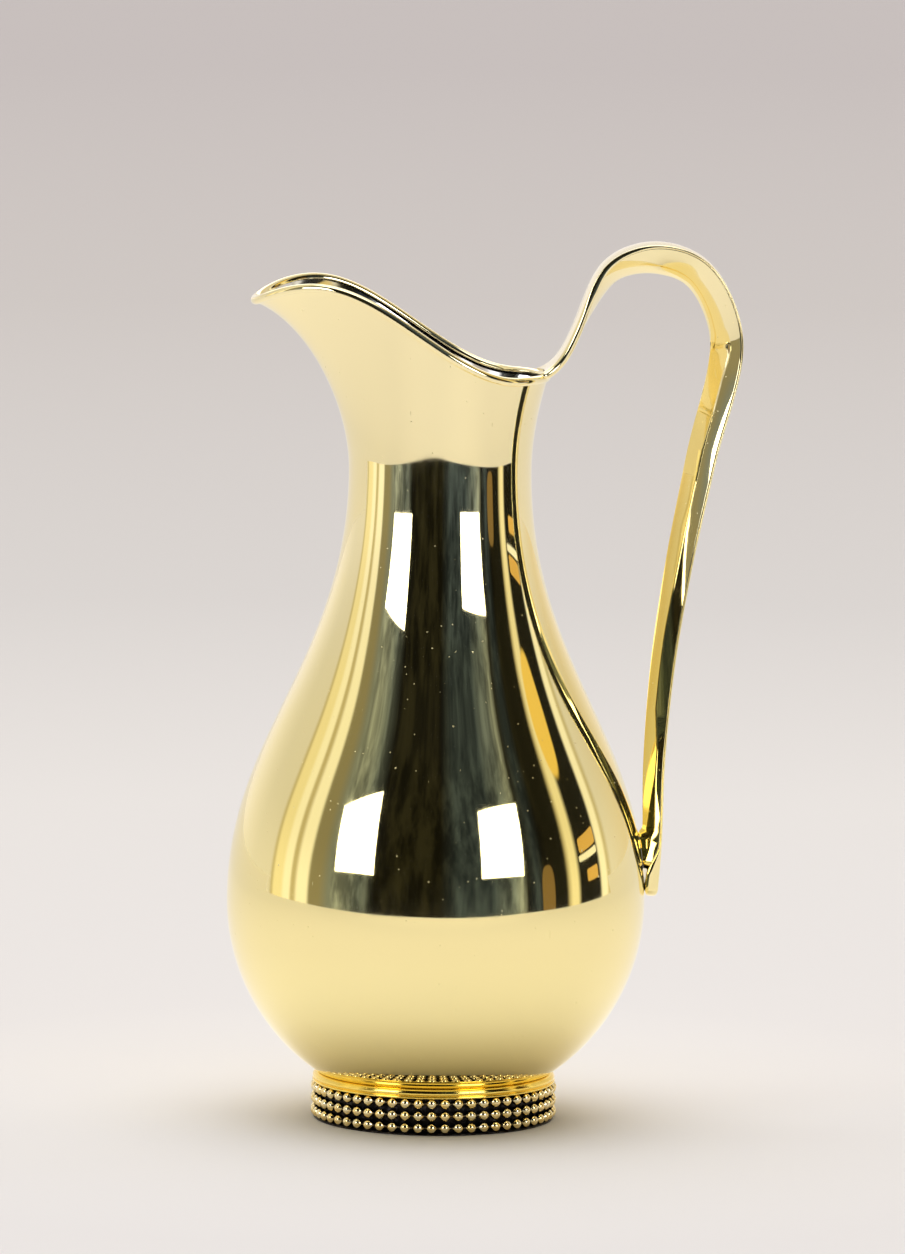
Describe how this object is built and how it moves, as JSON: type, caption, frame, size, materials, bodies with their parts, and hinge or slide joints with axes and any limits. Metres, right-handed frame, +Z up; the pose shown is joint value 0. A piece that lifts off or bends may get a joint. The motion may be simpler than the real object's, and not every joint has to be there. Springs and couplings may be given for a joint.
{
  "type": "jug",
  "caption": "Tall gilt silver jug with a round bowl, slim neck, upswept pouring lip, high looped strap handle and a beaded foot ring, for serving drinks.",
  "frame": {"origin": "on the table plane, in the middle of the footprint box: halfway between the spout's tip and the handle's back", "axes": "+Z up, -X towards the spout, +X towards the handle, Y across the jug"},
  "size_m": [0.1448, 0.1188, 0.2503],
  "materials": {
    "silver_gilt": "mirror polished gilding, pale gold, with fine scratches",
    "worn_gilt": "worn pale gilding with silver showing through",
    "oxidised_silver": "dark oxidised silver"
  },
  "bodies": {
    "root": {"body_shell": "silver_gilt", "rim_wire": "silver_gilt", "handle_strap": "silver_gilt", "handle_trough": "silver_gilt", "foot_collar": "silver_gilt", "foot_drum": "oxidised_silver", "bead_wire_lower": "worn_gilt", "bead_wire_middle": "worn_gilt", "bead_wire_upper": "worn_gilt", "foot_rest_ring": "oxidised_silver"}
  },
  "joints": []
}
